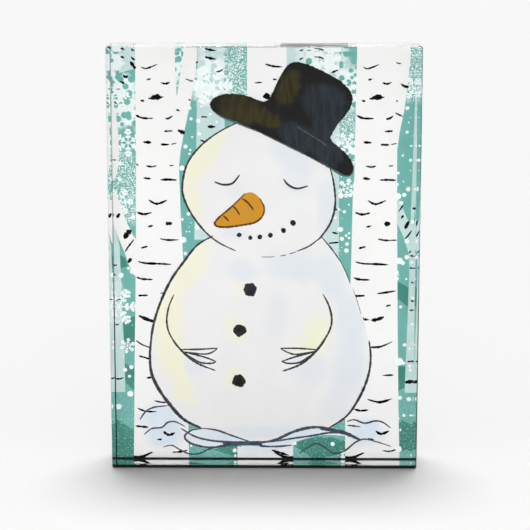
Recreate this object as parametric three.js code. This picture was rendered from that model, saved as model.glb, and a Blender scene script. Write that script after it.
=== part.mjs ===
// Printed acrylic photo block: a thick clear slab with a bevelled front and a picture on its back face.
// Millimetres, +Z up. The picture is looked at through the slab from the -Y side.
// The origin is on the surface that the block stands on, below the middle of its bounding box.
import * as THREE from 'three';

// Driving dimensions
const BLOCK_WIDTH = 129;
const BLOCK_HEIGHT = 178;
const BLOCK_DEPTH = 22;
const FRONT_BEVEL_WIDTH = 2;   // across the front face, on all four sides
const FRONT_BEVEL_DEPTH = 1;   // back into the slab
const BACK_BEVEL = 0.2;        // polished arris, equal both ways
const CORNER_RADIUS = 0.7;     // slab corners, seen from the front
const CORNER_STEPS = 4;        // flat steps round one corner

// Layers on the back face, from the slab outwards
const PICTURE_INK_THICKNESS = 0.2;
const WHITE_INK_THICKNESS = 0.2;
const BACK_FILM_THICKNESS = 0.3;
const INK_MARGIN = 0.45;       // bare rim round the printed area
const FILM_MARGIN = 0.25;      // bare rim round the film, which frames the ink with a thin dark line

// Worked out
const TOTAL_DEPTH = BLOCK_DEPTH + PICTURE_INK_THICKNESS + WHITE_INK_THICKNESS + BACK_FILM_THICKNESS;
const FRONT_Y = -TOTAL_DEPTH / 2;
const BLOCK_BACK_Y = FRONT_Y + BLOCK_DEPTH;
const PICTURE_BACK_Y = BLOCK_BACK_Y + PICTURE_INK_THICKNESS;
const WHITE_BACK_Y = PICTURE_BACK_Y + WHITE_INK_THICKNESS;
const FILM_BACK_Y = WHITE_BACK_Y + BACK_FILM_THICKNESS;

// One ring of points: the slab's outline with rounded corners, moved in by inset, in the plane of depth y.
function outlineRing(inset, y) {
  const halfWidth = BLOCK_WIDTH / 2 - inset;
  const halfHeight = BLOCK_HEIGHT / 2 - inset;
  const middleZ = BLOCK_HEIGHT / 2;
  const corners = [[1, 1], [-1, 1], [-1, -1], [1, -1]];
  const points = [];
  corners.forEach(([sideX, sideZ], quarter) => {
    for (let step = 0; step <= CORNER_STEPS; step += 1) {
      const angle = (quarter + step / CORNER_STEPS) * Math.PI / 2;
      const x = sideX * (halfWidth - CORNER_RADIUS) + CORNER_RADIUS * Math.cos(angle);
      const z = sideZ * (halfHeight - CORNER_RADIUS) + CORNER_RADIUS * Math.sin(angle);
      points.push(new THREE.Vector3(x, y, middleZ + z));
    }
  });
  return points;
}

// A closed body through rings of equal length, given from front to back.
function loftGeometry(rings) {
  const ringLength = rings[0].length;
  const positions = rings.flat().flatMap((point) => [point.x, point.y, point.z]);
  const indices = [];
  for (let ring = 0; ring + 1 < rings.length; ring += 1) {
    for (let i = 0; i < ringLength; i += 1) {
      const next = (i + 1) % ringLength;
      const a = ring * ringLength + i;
      const b = ring * ringLength + next;
      const c = a + ringLength;
      const d = b + ringLength;
      indices.push(a, d, b, a, c, d);
    }
  }
  const lastRing = (rings.length - 1) * ringLength;
  for (let i = 1; i + 1 < ringLength; i += 1) {
    indices.push(0, i, i + 1);
    indices.push(lastRing, lastRing + i + 1, lastRing + i);
  }
  const geometry = new THREE.BufferGeometry();
  geometry.setAttribute('position', new THREE.Float32BufferAttribute(positions, 3));
  geometry.setIndex(indices);
  geometry.computeVertexNormals();
  return geometry;
}

function namedMesh(name, geometry, materialOptions) {
  const mesh = new THREE.Mesh(geometry, new THREE.MeshStandardMaterial(materialOptions));
  mesh.name = name;
  return mesh;
}

// Clear cast slab with a wide shallow bevel round its front face and a fine arris round its back face.
function acrylicBlock() {
  const rings = [
    outlineRing(FRONT_BEVEL_WIDTH, FRONT_Y),
    outlineRing(0, FRONT_Y + FRONT_BEVEL_DEPTH),
    outlineRing(0, BLOCK_BACK_Y - BACK_BEVEL),
    outlineRing(BACK_BEVEL, BLOCK_BACK_Y),
  ];
  return namedMesh('acrylic_block', loftGeometry(rings), {
    color: 0xf2fafa, roughness: 0.03, metalness: 0, transparent: true, opacity: 0.25,
  });
}

// A flat coat or film on the back face, between two depths, with a bare rim round it.
function backLayer(name, margin, fromY, toY, materialOptions) {
  const rings = [outlineRing(margin, fromY), outlineRing(margin, toY)];
  return namedMesh(name, loftGeometry(rings), materialOptions);
}

const photoBlock = new THREE.Group();
photoBlock.add(
  acrylicBlock(),
  backLayer('picture_ink', INK_MARGIN, BLOCK_BACK_Y, PICTURE_BACK_Y, {
    color: 0x9ccbc5, roughness: 0.45, metalness: 0,
  }),
  backLayer('white_ink', INK_MARGIN, PICTURE_BACK_Y, WHITE_BACK_Y, {
    color: 0xf6f6f4, roughness: 0.5, metalness: 0,
  }),
  backLayer('back_film', FILM_MARGIN, WHITE_BACK_Y, FILM_BACK_Y, {
    color: 0x161617, roughness: 0.6, metalness: 0,
  }),
);

export default photoBlock;
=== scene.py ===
import math
import random

import bpy
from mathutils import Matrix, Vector
from mathutils.geometry import tessellate_polygon


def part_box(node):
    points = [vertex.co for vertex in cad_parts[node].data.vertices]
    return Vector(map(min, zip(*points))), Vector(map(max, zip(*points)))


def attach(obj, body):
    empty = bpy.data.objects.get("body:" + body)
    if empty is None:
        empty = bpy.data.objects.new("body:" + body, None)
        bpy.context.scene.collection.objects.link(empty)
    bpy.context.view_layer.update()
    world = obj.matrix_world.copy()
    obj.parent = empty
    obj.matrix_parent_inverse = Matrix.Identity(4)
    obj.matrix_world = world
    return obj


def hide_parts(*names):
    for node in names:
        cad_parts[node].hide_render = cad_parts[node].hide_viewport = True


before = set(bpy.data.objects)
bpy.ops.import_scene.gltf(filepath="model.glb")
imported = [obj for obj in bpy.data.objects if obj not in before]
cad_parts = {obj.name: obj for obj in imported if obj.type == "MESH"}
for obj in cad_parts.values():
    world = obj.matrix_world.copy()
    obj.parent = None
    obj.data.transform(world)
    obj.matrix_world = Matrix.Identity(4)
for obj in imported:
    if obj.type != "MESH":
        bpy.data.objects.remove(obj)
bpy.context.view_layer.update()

# A printed acrylic photo block: a clear slab with a bevelled front, and on its back face a printed
# winter picture, a white ink coat and a black film. The picture is looked at through the slab.
# Picture sizes are in millimetres: x from the middle of the slab, z up from the surface it stands on.
MM = 0.001
random.seed(20)

# Slab
FRONT_BEVEL_WIDTH = 2.0
FRONT_BEVEL_DEPTH = 1.0
BACK_BEVEL = 0.2
EDGE_SOFTNESS = 0.25      # polished-over edge of each bevel
EDGE_STEPS = 4
CORNER_RADIUS = 0.7
CORNER_STEPS = 6

# Print
INK_SINK = 0.02           # the ink wets the acrylic, so its front lies a hair inside the slab's back
LEVEL_STEP = 0.02         # from one colour of the print to the next
SHAPE_THICKNESS = 0.008
SHAPE_STEP = 0.0004       # keeps shapes of one colour that overlap off one plane
SHAPE_STEPS = 16          # then the steps start again
SMALLEST_SHAPE = 1e-4     # square millimetres

slab_low, slab_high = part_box("acrylic_block")
ink_low, ink_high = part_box("picture_ink")
MIDDLE_X = (slab_low.x + slab_high.x) / 2
BASE_Z = slab_low.z
SLAB_HALF_WIDTH = (slab_high.x - slab_low.x) / 2 / MM
SLAB_HEIGHT = (slab_high.z - slab_low.z) / MM
SLAB_DEPTH = (slab_high.y - slab_low.y) / MM
INK_LEFT = (ink_low.x - MIDDLE_X) / MM
INK_RIGHT = (ink_high.x - MIDDLE_X) / MM
INK_BOTTOM = (ink_low.z - BASE_Z) / MM
INK_TOP = (ink_high.z - BASE_Z) / MM

# Colours of the print and the film, as sRGB values from 0 to 255
TEAL = (112, 177, 169)
DARK_TEAL = (68, 137, 124)
PALE_TEAL = (198, 221, 219)
LACE_WHITE = (236, 245, 244)
FLAKE_WHITE = (243, 250, 249)
TRUNK_WHITE = (242, 241, 240)
SNOW_WHITE = (236, 234, 234)
WASH_YELLOW = (240, 237, 211)
WASH_BLUE = (222, 227, 232)
DRIFT_BLUE = (219, 229, 239)
BARK_BLACK = (10, 10, 12)
OUTLINE_GREY = (60, 62, 64)
DRIFT_LINE = (68, 78, 88)
HAT_BLACK = (34, 33, 33)
HAT_OLIVE = (59, 55, 32)
HAT_SLATE = (47, 53, 59)
HAT_EDGE = (84, 90, 96)
CARROT = (214, 142, 32)
CARROT_DARK = (194, 143, 52)
CARROT_LINE = (88, 62, 30)
COAL = (44, 44, 46)
FILM_DARK = (10, 10, 12)
FILM_LIGHT = (18, 18, 20)


def linear(colour):
    """An sRGB colour as the linear RGBA that a shader socket takes."""
    parts = []
    for value in colour:
        share = value / 255
        parts.append(share / 12.92 if share <= 0.04045 else ((share + 0.055) / 1.055) ** 2.4)
    return (*parts, 1.0)


def shade(colour, factor):
    r, g, b, a = linear(colour)
    return (r * factor, g * factor, b * factor, a)


# ---------------- objects and shader nodes

def add_object(name, data):
    thing = bpy.data.objects.new(name, data)
    bpy.context.scene.collection.objects.link(thing)
    return thing


def look_back_along(thing, direction):
    """Turn a camera or lamp so that what it looks at lies opposite to this direction."""
    thing.rotation_mode = "QUATERNION"
    thing.rotation_quaternion = direction.to_track_quat("Z", "Y")


def place(name, mesh, node):
    """A piece of the model, in place of a CAD node."""
    piece = add_object(name, mesh)
    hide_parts(node)
    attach(piece, "root")


def feed(tree, node, inputs):
    """Link another node's output to an input, or leave a plain value on its socket."""
    for name, value in inputs.items():
        if isinstance(value, bpy.types.NodeSocket):
            tree.links.new(value, node.inputs[name])
        else:
            node.inputs[name].default_value = value


def add_node(tree, kind, inputs, output=0, **settings):
    """Add a shader node, and give back the one of its outputs that is wanted."""
    node = tree.nodes.new("ShaderNode" + kind)
    for name, value in settings.items():
        setattr(node, name, value)
    feed(tree, node, inputs)
    return node.outputs[output]


def new_material(name):
    material = bpy.data.materials.new(name)
    material.use_nodes = True
    return material, material.node_tree


def paint(material, inputs):
    """Feed the material's own shader."""
    tree = material.node_tree
    feed(tree, tree.nodes["Principled BSDF"], inputs)


def texture_space(tree):
    return add_node(tree, "TexCoord", {}, "Object")


def noise(tree, coordinates, scale, detail, stretch=(1, 1, 1)):
    """Noise value from 0 to 1; scale is in features per metre."""
    stretched = add_node(tree, "Mapping", {"Vector": coordinates, "Scale": stretch})
    return add_node(tree, "TexNoise", {"Vector": stretched, "Scale": scale, "Detail": detail})


def steps(tree, value, low, high, out_low=0.0, out_high=1.0):
    """Value moved from the range low..high to out_low..out_high, and held there."""
    return add_node(tree, "MapRange", {
        "Value": value, "From Min": low, "From Max": high, "To Min": out_low, "To Max": out_high,
    })


def combine(tree, operation, total, *others):
    """Values taken together two by two, such as by MULTIPLY or MAXIMUM."""
    for other in others:
        total = add_node(tree, "Math", {0: total, 1: other}, operation=operation)
    return total


def mix_colour(tree, factor, first, second):
    colour_a, colour_b, colour_result = 6, 7, 2    # this node's sockets share their names
    return add_node(tree, "Mix", {"Factor": factor, colour_a: first, colour_b: second},
                    colour_result, data_type="RGBA")


def mottle(tree, grain, low, high, colour, spread):
    """The colour, darker where the grain is under low and lighter where it is over high."""
    ramp = steps(tree, grain, low, high)
    return mix_colour(tree, ramp, shade(colour, 1 - spread), shade(colour, 1 + spread))


def ragged_space(tree, coordinates, reach, scale):
    """Coordinates pushed about by noise, reach in millimetres, so a patch gets a brushed edge."""
    push = add_node(tree, "TexNoise", {"Vector": coordinates, "Scale": scale, "Detail": 3.0}, "Color")
    spread, centre = (2 * reach * MM,) * 3, (-reach * MM,) * 3
    centred = add_node(tree, "VectorMath", {0: push, 1: spread, 2: centre}, operation="MULTIPLY_ADD")
    return add_node(tree, "VectorMath", {0: coordinates, 1: centred})


def patch(tree, coordinates, x, z, half_width, half_height, turn=0.0, soft=1.0):
    """An oval mask in the picture, 1 inside; soft is the share of its size over which it fades."""
    centred = add_node(tree, "Mapping", {
        "Vector": coordinates,
        "Location": (MIDDLE_X + x * MM, 0, BASE_Z + z * MM),
        "Rotation": (0, math.radians(turn), 0),
        "Scale": (half_width * MM, 1, half_height * MM),
    }, vector_type="TEXTURE")
    ball = add_node(tree, "TexGradient", {"Vector": centred}, "Fac", gradient_type="SPHERICAL")
    return steps(tree, ball, 0.0, soft)


# ---------------- camera, light and floor

VIEW_HEIGHT = 87.9 * MM
VIEW_SIDE = 0.35 * MM
VIEW_AZIMUTH = math.radians(0.58)
VIEW_ELEVATION = math.radians(10.76)
VIEW_DISTANCE = 0.742
SENSOR_WIDTH = 36
FOCAL_LENGTH = 121.6

WORLD_BEHIND = 0.955
WORLD_IN_FRONT = 1.07
WORLD_TURN = -0.6          # how far round to the camera's side the full front brightness starts
OVERHEAD_STRENGTH = 5.9
OVERHEAD_SOFTNESS = math.radians(22)
OVERHEAD_ELEVATION = math.radians(78)
FRONT_STRENGTH = 0.3
FRONT_SOFTNESS = math.radians(36)
FRONT_ELEVATION = math.radians(20)
STRIP_WIDTH = 0.5          # a low strip in front, out of the picture, for the foot of the print
STRIP_HEIGHT = 0.014
STRIP_DISTANCE = 0.25
STRIP_POWER = 0.86
CARD_PLACE = (0.0213, 0.998, 0.066)    # direction of a grey card, which only the top face mirrors
CARD_DISTANCE = 5.0
CARD_HALF_WIDTH = 0.108
CARD_HALF_HEIGHT = 0.05
CARD_CORNERS = 32
CARD_GREY = 0.5
FLOOR_GREY = (155, 155, 155)
FLOOR_SIZE = 20.0
FLOOR_GAP = 0.02 * MM


def make_camera():
    data = bpy.data.cameras.new("camera")
    data.sensor_width = SENSOR_WIDTH
    data.lens = FOCAL_LENGTH
    data.clip_start = 0.01
    data.clip_end = 100
    camera = add_object("camera", data)
    bpy.context.scene.camera = camera
    target = Vector((MIDDLE_X + VIEW_SIDE, slab_low.y, BASE_Z + VIEW_HEIGHT))
    level = math.cos(VIEW_ELEVATION)
    back = Vector((
        math.sin(VIEW_AZIMUTH) * level,
        -math.cos(VIEW_AZIMUTH) * level,
        math.sin(VIEW_ELEVATION),
    ))
    camera.location = target + back * VIEW_DISTANCE
    look_back_along(camera, back)


def make_world():
    """Pale surroundings, a little brighter on the camera's side so that the print is well lit."""
    world = bpy.data.worlds.new("studio")
    world.use_nodes = True
    bpy.context.scene.world = world
    tree = world.node_tree
    direction = add_node(tree, "TexCoord", {}, "Generated")
    depth = add_node(tree, "SeparateXYZ", {"Vector": direction}, "Y")
    strength = steps(tree, depth, 0.0, WORLD_TURN, WORLD_BEHIND, WORLD_IN_FRONT)
    feed(tree, tree.nodes["Background"], {"Color": (1, 1, 1, 1), "Strength": strength})


def soft_lamp(name, strength, softness, elevation, side):
    """Distant soft lamp; side is 1 behind the slab and -1 on the camera's side."""
    data = bpy.data.lights.new(name, "SUN")
    data.energy = strength
    data.angle = softness
    lamp = add_object(name, data)
    look_back_along(lamp, Vector((0, side * math.cos(elevation), math.sin(elevation))))


def make_low_strip():
    data = bpy.data.lights.new("low_strip", "AREA")
    data.shape = "RECTANGLE"
    data.size = STRIP_WIDTH
    data.size_y = STRIP_HEIGHT
    data.energy = STRIP_POWER
    strip = add_object("low_strip", data)
    strip.location = (MIDDLE_X, slab_low.y - STRIP_DISTANCE, BASE_Z + STRIP_HEIGHT)
    look_back_along(strip, Vector((0, -1, 0)))
    strip.visible_glossy = False
    strip.visible_camera = False


def make_lamps():
    """One lamp above and a little behind, which throws the short shadow forwards, and front fills."""
    soft_lamp("overhead", OVERHEAD_STRENGTH, OVERHEAD_SOFTNESS, OVERHEAD_ELEVATION, 1)
    soft_lamp("front_fill", FRONT_STRENGTH, FRONT_SOFTNESS, FRONT_ELEVATION, -1)
    make_low_strip()


def stage_sheet(name, corners, material):
    """A flat sheet of the studio, which is no part of the object."""
    mesh = bpy.data.meshes.new(name)
    mesh.from_pydata(corners, [], [tuple(range(len(corners)))])
    mesh.materials.append(material)
    sheet = add_object(name, mesh)
    return sheet


def make_floor():
    half = FLOOR_SIZE / 2
    z = BASE_Z - FLOOR_GAP
    material, tree = new_material("studio_floor")
    paper = noise(tree, texture_space(tree), 900.0, 2.0)
    tone = mix_colour(tree, paper, shade(FLOOR_GREY, 0.99), shade(FLOOR_GREY, 1.01))
    paint(material, {"Base Color": tone, "Roughness": 0.9, "Specular IOR Level": 0.0})
    corners = [(-half, -half, z), (half, -half, z), (half, half, z), (-half, half, z)]
    stage_sheet("floor", corners, material)


def make_card():
    """A grey card far behind, seen only as the long grey glint in the slab's top face."""
    middle = Vector((MIDDLE_X, slab_low.y, slab_high.z)) + Vector(CARD_PLACE) * CARD_DISTANCE
    rim = []
    for step in range(CARD_CORNERS):
        angle = 2 * math.pi * step / CARD_CORNERS
        across = CARD_HALF_WIDTH * math.cos(angle)
        up = CARD_HALF_HEIGHT * math.sin(angle)
        rim.append((middle.x + across, middle.y, middle.z + up))
    material, _tree = new_material("grey_card")
    paint(material, {
        "Base Color": (0, 0, 0, 1), "Roughness": 1.0, "Specular IOR Level": 0.0,
        "Emission Color": (CARD_GREY, CARD_GREY, CARD_GREY, 1), "Emission Strength": WORLD_BEHIND,
    })
    card = stage_sheet("grey_card", rim, material)
    card.visible_camera = False
    card.visible_diffuse = False
    card.visible_shadow = False


# ---------------- flat printed shapes

def out_from(x, z, angle, reach):
    """The point that lies this far from x, z at an angle."""
    return (x + reach * math.cos(angle), z + reach * math.sin(angle))


def smooth_path(points, closed=False, spans=8):
    """Points on a Catmull-Rom curve through the given ones."""
    count = len(points)
    last = count if closed else count - 1
    path = []
    for i in range(last):
        if closed:
            a, b, c, d = (points[(i + k) % count] for k in (-1, 0, 1, 2))
        else:
            a, b = points[max(i - 1, 0)], points[i]
            c, d = points[i + 1], points[min(i + 2, count - 1)]
        for step in range(spans):
            t = step / spans
            path.append(tuple(
                0.5 * (2 * b[k] + (c[k] - a[k]) * t
                       + (2 * a[k] - 5 * b[k] + 4 * c[k] - d[k]) * t ** 2
                       + (3 * b[k] - a[k] - 3 * c[k] + d[k]) * t ** 3)
                for k in (0, 1)
            ))
    if not closed:
        path.append(points[-1])
    return path


def cut_side(outline, axis, limit, keep_above):
    """The part of an outline on one side of a straight cut."""
    kept = []
    for i, here in enumerate(outline):
        before = outline[i - 1]
        here_in = (here[axis] >= limit) == keep_above
        before_in = (before[axis] >= limit) == keep_above
        if here_in != before_in:
            t = (limit - before[axis]) / (here[axis] - before[axis])
            kept.append(tuple(before[k] + (here[k] - before[k]) * t for k in (0, 1)))
        if here_in:
            kept.append(here)
    return kept


def trim_to_ink(outline):
    for axis, limit, keep_above in (
        (0, INK_LEFT, True), (0, INK_RIGHT, False), (1, INK_BOTTOM, True), (1, INK_TOP, False),
    ):
        if outline:
            outline = cut_side(outline, axis, limit, keep_above)
    return outline


def signed_area(outline):
    total = 0.0
    for i, (x, z) in enumerate(outline):
        before_x, before_z = outline[i - 1]
        total += before_x * z - x * before_z
    return total / 2


class InkLayer:
    """Flat closed shapes of one colour, which become one piece at one level of the print."""

    def __init__(self, name, level):
        self.name = name
        self.front = slab_high.y - (INK_SINK + LEVEL_STEP * level) * MM
        self.vertices = []
        self.faces = []
        self.shapes = 0

    def shape(self, outline):
        outline = trim_to_ink(outline)
        if len(outline) < 3 or abs(signed_area(outline)) < SMALLEST_SHAPE:
            return
        if signed_area(outline) < 0:
            outline = outline[::-1]
        count = len(outline)
        first = len(self.vertices)
        front = self.front - (self.shapes % SHAPE_STEPS) * SHAPE_STEP * MM
        back = front + SHAPE_THICKNESS * MM
        self.shapes += 1
        for y in (front, back):
            for x, z in outline:
                self.vertices.append((MIDDLE_X + x * MM, y, BASE_Z + z * MM))
        flat = [Vector((x, z, 0)) for x, z in outline]
        for triangle in tessellate_polygon([flat]):
            if signed_area([outline[i] for i in triangle]) < 0:
                triangle = triangle[::-1]
            self.faces.append([first + i for i in triangle])
            self.faces.append([first + count + i for i in reversed(triangle)])
        for i in range(count):
            after = (i + 1) % count
            self.faces.append((first + i, first + count + i, first + count + after, first + after))

    def blot(self, x, z, radius, roughness, corners=14):
        """A round dab with a slightly uneven edge."""
        outline = []
        for i in range(corners):
            angle = 2 * math.pi * i / corners
            reach = radius * (1 + random.uniform(-roughness, roughness))
            outline.append(out_from(x, z, angle, reach))
        self.shape(outline)

    def stroke(self, points, width, ends, wobble=0.12, spans=6):
        """A pen stroke along a smooth line; ends is its width at both ends, as a share of the width."""
        path = smooth_path(points, spans=spans)
        left, right = [], []
        for i, (x, z) in enumerate(path):
            before = path[max(i - 1, 0)]
            after = path[min(i + 1, len(path) - 1)]
            run = math.hypot(after[0] - before[0], after[1] - before[1]) or 1.0
            across = ((before[1] - after[1]) / run, (after[0] - before[0]) / run)
            share = i / (len(path) - 1)
            swell = ends + (1 - ends) * math.sin(math.pi * share) ** 0.6
            half = width / 2 * swell * (1 + random.uniform(-wobble, wobble))
            left.append((x + across[0] * half, z + across[1] * half))
            right.append((x - across[0] * half, z - across[1] * half))
        self.shape(left + right[::-1])

    def strokes(self, marks, weight, ends, wobble, spans=6):
        """Pen strokes from marks (width, points); weight makes them all bolder."""
        for width, *points in marks:
            self.stroke(points, width * weight, ends, wobble, spans)

    def piece(self, material):
        mesh = bpy.data.meshes.new(self.name)
        mesh.from_pydata(self.vertices, [], self.faces)
        mesh.validate()
        mesh.materials.append(material)
        place(self.name, mesh, "picture_ink")


# ---------------- clear slab

CLEAR_TINT = (0.99, 0.997, 0.996, 1)
# painted shade: the tint of the bevel's dark stretches
PAINTED_SHADE_TINT = (0.0012, 0.0014, 0.0014, 1)
CLEAR_GLOSS = (0.15, 0.15, 0.15, 1)    # a weak reflection, so that no veil lies over the picture
# painted reflection: the stronger gloss along the bevel's foot
PAINTED_FOOT_REFLECTION = (0.9, 0.9, 0.9, 1)

# Stretches of the bevel with painted shade and painted grey reflections, in millimetres
OFF_THE_SLAB = 1.0         # a limit outside the slab, where a stretch runs to its edge
SIDE_FADE = 0.08           # of the stretches that stand upright
LEVEL_FADE = 0.1           # of the stretches along the foot and the top
FOOT_PAINTED_SHADE = 1.7            # up from the foot
RIGHT_PAINTED_SHADE = 0.45          # in from the right edge
LEFT_PAINTED_GREY = 0.2            # in from the left edge
ARRIS_PAINTED_SHADE = (-0.3, 0.35)  # to both sides of the left inner arris
CROWN_PAINTED_REFLECTION = 0.5           # down from the top
CROWN_REFLECTION_SPAN = (-33, 36, 3)  # from and to across the top, and its fade
PAINTED_GREY_SHARE = 0.6           # of the painted shade tint in the painted grey reflections
SHADE_PALER_ABOVE = 0.62         # share of the height above which the sides' painted shade is paler
SHADE_FULL_BELOW = 0.38
SHADE_PALER_SHARE = 0.72


def rounded_profile(corners, radius, count):
    """A profile with each inner corner replaced by a short curve."""
    profile = [corners[0]]
    for before, corner, after in zip(corners, corners[1:], corners[2:]):
        ends = []
        for other in (before, after):
            run = math.hypot(other[0] - corner[0], other[1] - corner[1])
            share = min(radius / run, 0.45)
            ends.append(tuple(corner[k] + (other[k] - corner[k]) * share for k in (0, 1)))
        for step in range(count + 1):
            t = step / count
            profile.append(tuple(
                (1 - t) ** 2 * ends[0][k] + 2 * t * (1 - t) * corner[k] + t ** 2 * ends[1][k]
                for k in (0, 1)
            ))
    profile.append(corners[-1])
    return profile


def slab_ring(inset, depth):
    """The slab's outline with rounded corners, moved in by inset, at a depth behind its front."""
    half_width = SLAB_HALF_WIDTH - inset
    half_height = SLAB_HEIGHT / 2 - inset
    middle_z = (slab_high.z + slab_low.z) / 2
    ring = []
    for quarter, (side_x, side_z) in enumerate(((1, 1), (-1, 1), (-1, -1), (1, -1))):
        for step in range(CORNER_STEPS + 1):
            angle = (quarter + step / CORNER_STEPS) * math.pi / 2
            x = side_x * (half_width - CORNER_RADIUS) + CORNER_RADIUS * math.cos(angle)
            z = side_z * (half_height - CORNER_RADIUS) + CORNER_RADIUS * math.sin(angle)
            ring.append((MIDDLE_X + x * MM, slab_low.y + depth * MM, middle_z + z * MM))
    return ring


def loft(name, rings):
    """A closed mesh through rings of equal length; its first two faces are the ends."""
    size = len(rings[0])
    vertices = [point for ring in rings for point in ring]
    faces = [tuple(range(size)), tuple(reversed(range(len(vertices) - size, len(vertices))))]
    for ring in range(len(rings) - 1):
        for i in range(size):
            a = ring * size + i
            b = ring * size + (i + 1) % size
            faces.append((a, a + size, b + size, b))
    mesh = bpy.data.meshes.new(name)
    mesh.from_pydata(vertices, [], faces)
    return mesh


def acrylic_material(name):
    material, tree = new_material(name)
    paint(material, {
        "Base Color": CLEAR_TINT, "Roughness": 0.0, "Transmission Weight": 1.0, "IOR": 1.49,
        "Specular Tint": CLEAR_GLOSS,
    })
    return material, tree


def edge_mask(tree, value, low, high, fade):
    """1 where a position in metres lies between two limits in millimetres, with a short fade."""
    rising = steps(tree, value, (low - fade) * MM, (low + fade) * MM)
    falling = steps(tree, value, (high + fade) * MM, (high - fade) * MM)
    return combine(tree, "MULTIPLY", rising, falling)


def bevel_painted_shade_material():
    """The polished bevel with painted shade and painted reflections: painted shade darkens its foot,
    right rim and left arris, less so high on the sides; painted grey reflections lie on its left rim
    and top; a painted stronger reflection lies along its foot.
    """
    material, tree = acrylic_material("polished_bevel_painted_shade")
    place_on_slab = {"Vector": texture_space(tree)}
    x = add_node(tree, "SeparateXYZ", place_on_slab, "X")
    z = add_node(tree, "SeparateXYZ", place_on_slab, "Z")
    arris = FRONT_BEVEL_WIDTH - SLAB_HALF_WIDTH
    # painted shade and painted grey reflections on stretches of the bevel, placed by position on the
    # slab
    left_arris = edge_mask(tree, x, arris + ARRIS_PAINTED_SHADE[0], arris + ARRIS_PAINTED_SHADE[1], SIDE_FADE)
    left_rim = edge_mask(tree, x, -SLAB_HALF_WIDTH - OFF_THE_SLAB, LEFT_PAINTED_GREY - SLAB_HALF_WIDTH,
                         SIDE_FADE)
    right_rim = edge_mask(tree, x, SLAB_HALF_WIDTH - RIGHT_PAINTED_SHADE, SLAB_HALF_WIDTH + OFF_THE_SLAB,
                          SIDE_FADE)
    painted_foot = edge_mask(tree, z, -OFF_THE_SLAB, FOOT_PAINTED_SHADE, LEVEL_FADE)
    top = edge_mask(tree, z, SLAB_HEIGHT - CROWN_PAINTED_REFLECTION, SLAB_HEIGHT + OFF_THE_SLAB, LEVEL_FADE)
    painted_crown = combine(tree, "MULTIPLY", top, edge_mask(tree, x, *CROWN_REFLECTION_SPAN))
    shade_fuller_below = steps(tree, z, SHADE_PALER_ABOVE * SLAB_HEIGHT * MM, SHADE_FULL_BELOW * SLAB_HEIGHT * MM,
                   SHADE_PALER_SHARE, 1.0)
    painted_side_shade = combine(tree, "MULTIPLY", combine(tree, "MAXIMUM", left_arris, right_rim), shade_fuller_below)
    grey = combine(tree, "MULTIPLY", combine(tree, "MAXIMUM", left_rim, painted_crown), PAINTED_GREY_SHARE)
    total = combine(tree, "MAXIMUM", painted_side_shade, painted_foot, grey)
    # the painted shade tints the clear acrylic, and the foot gets a painted stronger reflection
    paint(material, {
        "Base Color": mix_colour(tree, total, CLEAR_TINT, PAINTED_SHADE_TINT),
        "Specular Tint": mix_colour(tree, painted_foot, CLEAR_GLOSS, PAINTED_FOOT_REFLECTION),
    })
    return material


def make_slab():
    corners = [
        (FRONT_BEVEL_WIDTH + 4 * EDGE_SOFTNESS, 0),
        (FRONT_BEVEL_WIDTH, 0),
        (0, FRONT_BEVEL_DEPTH),
        (0, SLAB_DEPTH - BACK_BEVEL),
        (BACK_BEVEL, SLAB_DEPTH),
        (3 * BACK_BEVEL, SLAB_DEPTH),
    ]
    profile = rounded_profile(corners, EDGE_SOFTNESS, EDGE_STEPS)
    rings = [slab_ring(*point) for point in profile]
    bevel_end = 2 + 2 * EDGE_STEPS
    on_bevel = [0, 0]
    for ring in range(len(rings) - 1):
        on_bevel += [1 if 1 <= ring < bevel_end else 0] * len(rings[0])
    mesh = loft("clear_slab", rings)
    mesh.materials.append(acrylic_material("clear_acrylic")[0])
    mesh.materials.append(bevel_painted_shade_material())
    mesh.polygons.foreach_set("material_index", on_bevel)
    place("clear_slab", mesh, "acrylic_block")


# ---------------- inks

# Matt ink that wets the acrylic, so it has no gloss of its own
INK_FINISH = {"Roughness": 0.6, "Specular IOR Level": 0.0}
LACE_SOFTNESS = 0.35
BUBBLED_AREAS = (
    # (x, z, half_width, half_height)
    (-61, 158, 10, 9), (-58, 150, 9, 9), (-63, 170, 5, 8), (-64, 139, 5, 10), (-22, 163, 10, 13),
    (-36, 170, 6, 9), (24, 172, 12, 8), (34, 160, 9, 12), (35, 132, 6, 6),
)
SQUIGGLED_AREAS = (
    (-12, 168, 7, 13), (-11, 156, 8, 7), (-58, 122, 10, 14), (-60, 108, 9, 9),
    (34, 143, 7, 9), (61, 170, 7, 12), (61, 160, 7, 7), (-34, 160, 5, 8), (-62.6, 68, 3.4, 13),
)
DUST_AREA = (0, -4, 160, 46)


def mottled_ink(name, colour, spread, scale):
    """One printed colour with the slight unevenness of a scanned painting."""
    material, tree = new_material(name)
    grain = noise(tree, texture_space(tree), scale, 4.0)
    paint(material, {**INK_FINISH, "Base Color": mottle(tree, grain, 0.3, 0.7, colour, spread)})
    return material


def lace_mask(tree, coordinates):
    """Where frost covers the picture: rings of bubbles in some places, fine squiggles in others."""
    ragged = ragged_space(tree, coordinates, 4.0, 220.0)
    bubbled, squiggled = (
        combine(tree, "MAXIMUM", *(patch(tree, ragged, *area, soft=LACE_SOFTNESS) for area in areas))
        for areas in (BUBBLED_AREAS, SQUIGGLED_AREAS)
    )
    cells = add_node(tree, "TexVoronoi", {"Vector": coordinates, "Scale": 330.0}, "Distance")
    bubbles = steps(tree, cells, 0.42, 0.5)
    squiggles = steps(tree, noise(tree, coordinates, 1900.0, 0.5), 0.52, 0.58)
    return combine(tree, "MAXIMUM", combine(tree, "MULTIPLY", bubbled, bubbles),
                   combine(tree, "MULTIPLY", squiggled, squiggles))


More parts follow.
